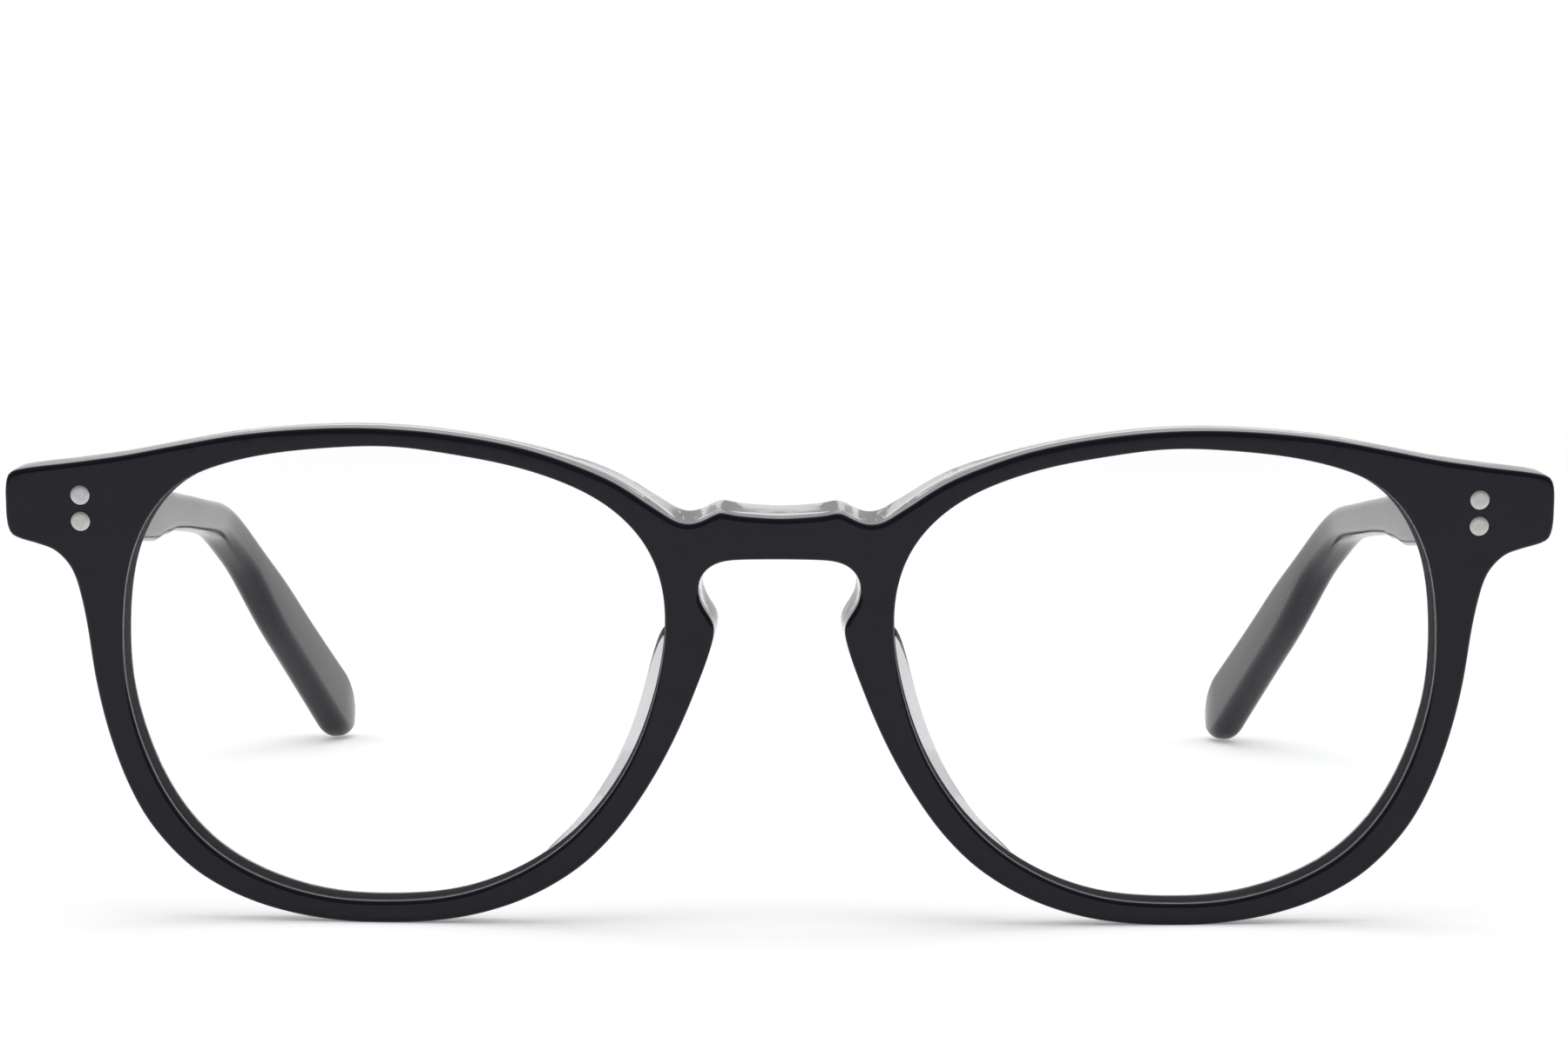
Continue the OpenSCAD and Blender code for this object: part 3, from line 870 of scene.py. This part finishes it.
def drill(piece, places):
    """Cuts the rivet holes, each with a fine countersink at the head."""
    slack, sink, above, flare = 0.02 * MM, 0.06 * MM, 0.4 * MM, 0.48 * MM
    turns = [math.tau * k / PIN_SIDES for k in range(PIN_SIDES)]
    for head, way, length, radius in places:
        turn = turn_to(way)
        rings = []
        for along, r in ((-length - MM, radius + slack), (-sink, radius + slack), (above, radius + flare)):
            rings.append([head + turn @ Vector((r * math.cos(a), r * math.sin(a), along)) for a in turns])
        cutter = lofted("cutter", rings)
        close_ends(cutter)
        modify(piece, "BOOLEAN", operation="DIFFERENCE", object=cutter, solver="EXACT")
        remove(cutter)


# Pieces


class EYEGLASSES_OT_front(bpy.types.Operator):
    """Cuts the front's black and clear layers, with the nose pads welded to the clear one"""

    bl_idname = "eyeglasses.front"
    bl_label = "Laminated front"

    def execute(self, context):
        s = sizes()
        made = materials()
        outline, eyes = front_loops()
        pins = {side: pin_places(f"front_rivets_{side}", FORWARD) for side in SIDES}
        black = self.black_sheet(s, outline, eyes)
        clear = self.clear_sheet(s, outline, eyes)
        for side in SIDES:
            pad = self.pad(side)
            modify(clear, "BOOLEAN", operation="UNION", object=pad, solver="EXACT")
            remove(pad)
        for side in SIDES:
            drill(black, pins[side])
            drill(clear, pins[side])
        polish(black)
        polish(clear)
        finish_piece(black, made["polished_black"], "front", "black_acetate", "front_black_layer")
        nodes = ("front_crystal_layer", "nose_pad_left", "nose_pad_right")
        finish_piece(clear, made["polished_clear"], "front", "clear_acetate", *nodes)
        return {"FINISHED"}

    def black_sheet(self, s, outline, eyes):
        """The black layer, with its share of the V grooves."""
        wall = [(always(s.black_t), always(0))]
        wall += [(always(depth), always(inset)) for depth, inset in round_over(s.edge_r)]
        lip = [(always(s.black_t), always(s.groove_d)), (always(s.black_t - s.groove_half_w), always(0))]
        lip += [(always(depth), always(inset)) for depth, inset in round_over(s.eye_edge_r)]
        bands = [(outline, inward(outline), wall)]
        bands += [(eye, [-n for n in inward(eye)], lip) for eye in eyes]
        piece = sheet("front_black_sheet", bands, s.black_t / 2)
        cut_across(piece, None)
        put_on_front(piece)
        return piece

    def clear_sheet(self, s, outline, eyes):
        """The clear layer, which thickens and flares towards the nose and laps into the black one."""
        lap = 0.1 * MM
        step = 0.03 * MM

        def thickness(x):
            return s.rim_t + (s.bridge_t - s.rim_t) * nose_share(x)

        def back(drop):
            return lambda x: thickness(x) - drop

        def flared(inset):
            return lambda x: inset - s.bridge_flare * nose_share(x)

        wall = [(always(s.black_t - lap), always(step)), (always(s.black_t), always(step))]
        wall += [(always(s.black_t), always(0))]
        wall += [(back(depth), flared(inset)) for depth, inset in round_over(s.edge_r)]
        lip = [(always(s.black_t - lap), always(s.groove_d + step)), (always(s.black_t), always(s.groove_d))]
        lip += [(always(s.black_t + s.groove_half_w), always(0))]
        lip += [(back(depth), always(inset)) for depth, inset in round_over(s.eye_edge_r)]
        bands = [(outline, inward(outline), wall)]
        bands += [(eye, [-n for n in inward(eye)], lip) for eye in eyes]
        piece = sheet("front_clear_sheet", bands, (s.black_t + s.rim_t) / 2)
        cut_across(piece, thickness)
        put_on_front(piece)
        return piece

    def pad(self, side):
        """A nose pad, smoothed and sunk a little into the clear layer."""
        pad = copy_of_node(f"nose_pad_{side}", f"pad_{side}")
        edit_all(pad)
        bpy.ops.mesh.tris_convert_to_quads(face_threshold=math.radians(60), shape_threshold=math.radians(60))
        done()
        modify(pad, "SUBSURF", levels=2, render_levels=2)
        edit_all(pad)
        bpy.ops.transform.translate(value=(0, -0.45 * MM, 0))
        done()
        return pad


class EYEGLASSES_OT_lenses(bpy.types.Operator):
    """Fills each eye with a clear domed demo lens that reaches into the groove"""

    bl_idname = "eyeglasses.lenses"
    bl_label = "Demo lenses"

    def execute(self, context):
        made = materials()
        _, eyes = front_loops()
        for eye in eyes:
            middle = eye_middle(eye)
            side = "left" if middle.x < 0 else "right"
            lens = self.lens(f"lens_{side}_blank", eye, middle)
            finish_piece(lens, made["thin_lens"], "front", "demo_lens", f"lens_{side}")
        return {"FINISHED"}

    def lens(self, name, eye, middle):
        """A dome laid from the middle of its front, over a V bevel, to the middle of its back."""
        s = sizes()
        gap = 0.06 * MM
        mouth = s.groove_half_w - gap
        into = inward(eye)
        rings = []

        def dome(part, face):
            depth = s.black_t + face * s.lens_t / 2 - s.lens_bulge * (1 - part**2)
            points = [middle + (p - middle) * part for p in eye]
            rings.append([Vector((p.x, depth, p.z)) for p in points])

        def edge(grow, depth):
            rings.append([Vector((p.x - n.x * grow, depth, p.z - n.z * grow)) for p, n in zip(eye, into)])

        parts = [0.05] + [k / 12 for k in range(1, 12)] + [0.994]
        for part in parts:
            dome(part, -1)
        edge(-2 * gap, s.black_t - s.lens_t / 2)
        edge(-gap, s.black_t - s.lens_t / 2 + gap / 2)
        edge(-2 * gap, s.black_t - mouth)
        edge(s.groove_d - 3 * gap, s.black_t)
        edge(-2 * gap, s.black_t + mouth)
        edge(-2 * gap, s.black_t + s.lens_t / 2)
        for part in reversed(parts):
            dome(part, 1)
        bevel = len(parts) + 3
        # The V bevel's three rings are marked for the painted shade of the ground edge.
        piece = lofted(name, rings, ground=range(bevel, bevel + 3))
        put_on_front(piece)
        close_ends(piece)
        smooth(piece, 30)
        return piece


class EYEGLASSES_OT_temples(bpy.types.Operator):
    """Extrudes each temple along its route and mitres its front end"""

    bl_idname = "eyeglasses.temples"
    bl_label = "Temples"

    def execute(self, context):
        made = materials()
        for side in SIDES:
            piece = self.temple(side)
            drill(piece, pin_places(f"temple_rivets_{side}", Vector((SIDE_SIGN[side], 0, 0))))
            smooth(piece, 40)
            finish_piece(piece, made["polished_black"], f"temple_{side}", "black_acetate", f"temple_{side}")
            wire = frame["nodes"][f"core_wire_{side}"]
            wire.data.materials.clear()
            wire.data.materials.append(made["core_wire"])
        return {"FINISHED"}

    def temple(self, side):
        """Extrudes the temple's section along its straight part, bend and drop."""
        t = bpy.context.scene.eyeglasses_temples
        s = sizes()
        route = Route(t, cad_hinge(side))
        ahead, step = 6, 2.5
        last = route.length - t.tip_lap
        places = [-ahead * MM + k * step * MM for k in range(int((last + ahead * MM) / (step * MM)))]
        early, tip_edge = 0.3, 0.35
        rings = [route.ring(at, 1, 1) for at in places if at < last - early * route.tip_r - MM]
        for k in range(18):
            a = math.radians(5 * k)
            along = route.tip_r * ((1 + early) * math.sin(a) - early)
            rings.append(route.ring(last + along, math.cos(a), tip_edge + (1 - tip_edge) * math.cos(a) ** 0.5))
        piece = lofted(f"temple_{side}_acetate", rings)
        if side == "left":
            for vertex in piece.data.vertices:
                vertex.co.x = -vertex.co.x
        close_ends(piece)
        x, height = SIDE_SIGN[side] * (route.end_x - 2.5 * MM), 0.0383
        end = onto_front((x, s.rim_t + t.butt_gap, height))
        way = (end - onto_front((x, 0, height))).normalized()
        edit_all(piece)
        bpy.ops.mesh.bisect(
            plane_co=end, plane_no=way, clear_inner=True, use_fill=True, threshold=CUT_THRESHOLD
        )
        done()
        edit(piece, "EDGE")
        verts = piece.data.vertices
        pick(piece, "edges", lambda e: all(abs((verts[i].co - end).dot(way)) < TOUCHES for i in e.vertices))
        bpy.ops.mesh.bevel(offset=0.25 * MM, segments=3, affect="EDGES")
        done()
        return piece


class Route:
    """The right temple's middle line, as in the part's source, and its sections."""

    def __init__(self, t, hinge):
        self.t = t
        hinge = Vector((abs(hinge.x), hinge.y, hinge.z))
        self.end_x = hinge.x + t.axis_in
        self.run = Vector((-math.tan(t.toe), 1, -math.tan(t.slope))).normalized()
        down = Vector((-math.sin(t.bend_roll), 0, -math.cos(t.bend_roll)))
        self.down = (down - self.run * down.dot(self.run)).normalized()
        self.start = hinge + Vector((t.axis_inset + t.thick / 2, 0, -t.low))
        self.bend_from = self.start + self.run * t.bend_y
        self.arc = t.bend_r * t.bend_a
        self.drop = self.turned(t.bend_a)
        self.drop_from = self.bent(t.bend_a)
        self.tip_r = t.paddle_h / 2
        up = Vector((1, 0, 0)).cross(self.drop).normalized()
        reach = math.hypot(self.tip_r * self.drop.z, (self.tip_r - 0.1 * MM) * up.z)
        self.length = t.bend_y + self.arc + (self.drop_from.z - reach) / -self.drop.z + t.tip_lap
        h, tip = t.height, t.tip_thick
        # Distance in millimetres, rise, fall and thickness
        self.table = [
            (-6, h / 2 - 0.4 * MM, h / 2, t.thick),
            (12, h / 2 - 0.2 * MM, h / 2, t.thick),
            (30, h / 2 - 0.1 * MM, h / 2 - 0.1 * MM, t.thick - 0.2 * MM),
            (46, h / 2 - 0.2 * MM, h / 2 - 0.2 * MM, t.thick - 0.3 * MM),
            (53, h / 2 - 0.3 * MM, h / 2 - 0.3 * MM, t.thick - 0.35 * MM),
            (60, h / 2 - 0.5 * MM, h / 2 - 1.1 * MM, t.thick - 0.4 * MM),
            (66, h / 2 - 0.7 * MM, h / 2 - 1.7 * MM, t.thick - 0.45 * MM),
            (74, h / 2 - 0.8 * MM, h / 2 - 2 * MM, t.thick - 0.5 * MM),
            (90, h / 2 - 0.95 * MM, h / 2 - 2.05 * MM, t.thick - 0.6 * MM),
            (108, self.tip_r - 2.05 * MM, self.tip_r - 1.9 * MM, tip + 0.2 * MM),
            (124, self.tip_r - 0.85 * MM, self.tip_r - 0.45 * MM, tip),
            (160, self.tip_r + 0.3 * MM, self.tip_r, tip),
        ]

    def turned(self, angle):
        return self.run * math.cos(angle) + self.down * math.sin(angle)

    def bent(self, angle):
        r = self.t.bend_r
        return self.bend_from + self.run * r * math.sin(angle) + self.down * r * (1 - math.cos(angle))

    def place(self, at):
        """Point and direction of the middle line at a distance along it."""
        t = self.t
        if at < t.bend_y:
            return self.start + self.run * at, self.run
        if at < t.bend_y + self.arc:
            angle = (at - t.bend_y) / t.bend_r
            return self.bent(angle), self.turned(angle)
        return self.drop_from + self.drop * (at - t.bend_y - self.arc), self.drop

    def sizes_at(self, at):
        """Rise, fall and thickness of the section at a distance."""
        for low, high in zip(self.table, self.table[1:]):
            if at <= high[0] * MM or high is self.table[-1]:
                v = ease((at / MM - low[0]) / (high[0] - low[0]))
                return [a * (1 - v) + b * v for a, b in zip(low[1:], high[1:])]

    def ring(self, at, tall, thick):
        """One section: a rounded rectangle across the middle line."""
        point, way = self.place(at)
        rise_way = Vector((1, 0, 0)).cross(way).normalized()
        side_way = way.cross(rise_way)
        up, down, t = self.sizes_at(at)
        up, down, t = up * tall, down * tall, t / 2 * thick
        round_share = clamped((at - self.t.bend_y) / (25 * MM))
        r = min((1.1 + 0.3 * round_share) * MM, t * (0.75 + 0.13 * round_share), up * 0.75, down * 0.75)
        corners = ((t - r, up - r, 0), (r - t, up - r, 90), (r - t, r - down, 180), (t - r, r - down, 270))
        ring = []
        for cx, cz, first in corners:
            for k in range(7):
                a = math.radians(first + 15 * k)
                ring.append(point + side_way * (cx + r * math.cos(a)) + rise_way * (cz + r * math.sin(a)))
        return ring


class EYEGLASSES_OT_rivets(bpy.types.Operator):
    """Turns each rivet as a pin with a flush, slightly domed head"""

    bl_idname = "eyeglasses.rivets"
    bl_label = "Rivets"

    def execute(self, context):
        made = materials()
        for side in SIDES:
            front = pin_places(f"front_rivets_{side}", FORWARD)
            arm = pin_places(f"temple_rivets_{side}", Vector((SIDE_SIGN[side], 0, 0)))
            for node, body, places in (
                (f"front_rivets_{side}", "front", front),
                (f"temple_rivets_{side}", f"temple_{side}", arm),
            ):
                piece = joined(f"{node}_polished", [self.pin(*place) for place in places])
                finish_piece(piece, made["polished_rivet"], body, "rivet_steel", node)
        return {"FINISHED"}

    def pin(self, head, way, length, radius):
        """A cylinder whose ends are stepped up to a low dome."""
        bpy.ops.object.select_all(action="DESELECT")
        bpy.ops.mesh.primitive_cylinder_add(
            vertices=PIN_SIDES,
            radius=radius,
            depth=length,
            location=head - way * length / 2,
            rotation=turn_to(way).to_euler(),
        )
        piece = bpy.context.active_object
        bpy.ops.object.transform_apply()
        for end, rise in ((way, 0.03 * MM), (-way, 0.01 * MM)):
            edit(piece, "FACE")
            pick(piece, "polygons", lambda f: f.normal.dot(end) > FACING)
            bpy.ops.mesh.inset(thickness=0.1 * radius)
            bpy.ops.transform.translate(value=end * rise)
            bpy.ops.mesh.inset(thickness=0.3 * radius)
            bpy.ops.transform.translate(value=end * rise / 2)
            bpy.ops.mesh.inset(thickness=0.3 * radius)
            bpy.ops.mesh.poke()
            done()
        smooth(piece, 60)
        return piece


class EYEGLASSES_OT_hinges(bpy.types.Operator):
    """Breaks the edges of the hinge leaves and screws"""

    bl_idname = "eyeglasses.hinges"
    bl_label = "Hinges"

    def execute(self, context):
        made = materials()
        for side in SIDES:
            for node, body in (
                (f"hinge_front_leaf_{side}", "front"),
                (f"hinge_screw_{side}", "front"),
                (f"hinge_temple_leaf_{side}", f"temple_{side}"),
            ):
                piece = copy_of_node(node, f"{node}_satin")
                edit_all(piece)
                bpy.ops.mesh.dissolve_limited(angle_limit=math.radians(1))
                done()
                modify(
                    piece,
                    "BEVEL",
                    width=0.07 * MM,
                    segments=2,
                    limit_method="ANGLE",
                    angle_limit=math.radians(35),
                )
                smooth(piece, 35)
                finish_piece(piece, made["satin_hinge"], body, "hinge_steel", node)
        return {"FINISHED"}


class EYEGLASSES_OT_stage(bpy.types.Operator):
    """Lays the floor and sets the camera, the lamps and the white surround"""

    bl_idname = "eyeglasses.stage"
    bl_label = "Stage"

    def execute(self, context):
        t = context.scene.eyeglasses_stage
        self.camera(t)
        self.floor(t)
        self.world(t)
        self.softbox("top_softbox", place=(0, 0.05, 0.75), goal=(0, 0, 0), size=0.9, power=t.top_power)
        for side in SIDES:
            place = (0.75 * SIDE_SIGN[side], -0.35, 0.45)
            self.softbox(f"{side}_softbox", place, goal=(0, -0.02, 0.02), size=0.6, power=t.side_power)
        context.scene.view_settings.view_transform = "Standard"
        return {"FINISHED"}

    def camera(self, t):
        pitch = Euler((math.radians(90) - t.camera_pitch, 0, 0)).to_matrix()
        bpy.ops.object.camera_add(
            location=(t.camera_side, sizes().origin_y - t.camera_back, t.camera_up),
            rotation=(pitch @ Matrix.Rotation(t.camera_roll, 3, "Z")).to_euler(),
        )
        camera = bpy.context.active_object
        camera.name = "product_camera"
        camera.data.sensor_width = 36
        camera.data.lens = t.camera_lens
        camera.data.clip_start = 0.01
        bpy.context.scene.camera = camera

    def floor(self, t):
        """White paper that fades out into the white surround."""
        bpy.ops.mesh.primitive_grid_add(x_subdivisions=4, y_subdivisions=4, size=3)
        floor = bpy.context.active_object
        floor.name = "floor"
        look = new_look("paper_floor")
        paper = look.node("ShaderNodeBsdfDiffuse", {}, {"Color": (0.9, 0.9, 0.9, 1)})
        lift = self.rays(look, "Camera", "Glossy", "Transmission") * t.floor_glow
        glow = look.node("ShaderNodeEmission", {}, {"Color": (1, 1, 1, 1), "Strength": lift})
        lit = look.node("ShaderNodeAddShader", {}, {0: paper, 1: glow})
        away = look.node("ShaderNodeVectorMath", {"operation": "LENGTH"}, {0: look.place()}, out="Value")
        fade = self.soft_step(look, away, 0.2, 0.7)
        clear = look.node("ShaderNodeBsdfTransparent")
        look.surface(look.node("ShaderNodeMixShader", {}, {0: fade, 1: lit, 2: clear}))
        floor.data.materials.append(bpy.data.materials["paper_floor"])

    def rays(self, look, *kinds):
        """1 for rays of these kinds: from the camera, off gloss or through clear pieces."""
        path = look.tree.nodes.new("ShaderNodeLightPath")
        first, *others = [Wire(look, path.outputs[f"Is {kind} Ray"]) for kind in kinds]
        for other in others:
            first = first.math("MAXIMUM", other)
        return first

    def soft_step(self, look, value, start, end, low=0, high=1):
        """A value turned softly from low at the start to high at the end."""
        sockets = {0: value, 1: start, 2: end, 3: low, 4: high}
        return look.node("ShaderNodeMapRange", {"interpolation_type": "SMOOTHSTEP"}, sockets)

    def world(self, t):
        """White all round; gloss and clear pieces see it dim on the camera's side."""
        world = bpy.data.worlds.new("white_surround")
        world.use_nodes = True
        bpy.context.scene.world = world
        look = Look(world.node_tree)
        bent = self.rays(look, "Glossy", "Transmission")
        seen = self.rays(look, "Camera", "Glossy", "Transmission")
        way = look.node("ShaderNodeTexCoord", out="Generated")
        ahead = look.node("ShaderNodeSeparateXYZ", {}, {0: way}, out="Y")
        dim = self.soft_step(look, ahead, -0.1, 0.6, t.dim_side)
        strength = (seen + (1 - seen) * t.ambient) * (1 - bent * (1 - dim))
        light = look.node("ShaderNodeBackground", {}, {"Color": (1, 1, 1, 1), "Strength": strength})
        look.surface(light, "ShaderNodeOutputWorld")

    def softbox(self, name, place, goal, size, power):
        way = Vector(goal) - Vector(place)
        bpy.ops.object.light_add(type="AREA", location=place, rotation=way.to_track_quat("-Z", "Y").to_euler())
        lamp = bpy.context.active_object
        lamp.name = name
        lamp.data.shape = "DISK"
        lamp.data.size = size
        lamp.data.energy = power
        lamp.visible_glossy = False


class EYEGLASSES_PT_panel(bpy.types.Panel):
    """Lists the steps and the settings"""

    bl_idname = "EYEGLASSES_PT_panel"
    bl_label = "Eyeglasses"
    bl_space_type = "VIEW_3D"
    bl_region_type = "UI"
    bl_category = "Eyeglasses"

    def draw(self, context):
        layout = self.layout
        for step in STEPS:
            layout.operator(step.bl_idname)
        for group in (
            context.scene.eyeglasses_front,
            context.scene.eyeglasses_temples,
            context.scene.eyeglasses_finishes,
            context.scene.eyeglasses_stage,
        ):
            box = layout.box()
            for name in group.__annotations__:
                box.prop(group, name)


STEPS = (
    EYEGLASSES_OT_stage,
    EYEGLASSES_OT_front,
    EYEGLASSES_OT_lenses,
    EYEGLASSES_OT_temples,
    EYEGLASSES_OT_rivets,
    EYEGLASSES_OT_hinges,
)
GROUPS = {
    "eyeglasses_front": FrontSizes,
    "eyeglasses_temples": TempleSizes,
    "eyeglasses_finishes": Finishes,
    "eyeglasses_stage": StageSettings,
}


def register():
    for cls in (*GROUPS.values(), *STEPS, EYEGLASSES_PT_panel):
        bpy.utils.register_class(cls)
    for name, cls in GROUPS.items():
        setattr(bpy.types.Scene, name, bpy.props.PointerProperty(type=cls))


def unregister():
    for name in GROUPS:
        delattr(bpy.types.Scene, name)
    for cls in (EYEGLASSES_PT_panel, *reversed(STEPS), *reversed(GROUPS.values())):
        bpy.utils.unregister_class(cls)


def main():
    register()
    bpy.ops.eyeglasses.stage()
    bpy.ops.eyeglasses.front()
    bpy.ops.eyeglasses.lenses()
    bpy.ops.eyeglasses.temples()
    bpy.ops.eyeglasses.rivets()
    bpy.ops.eyeglasses.hinges()


if __name__ == "__main__":
    main()
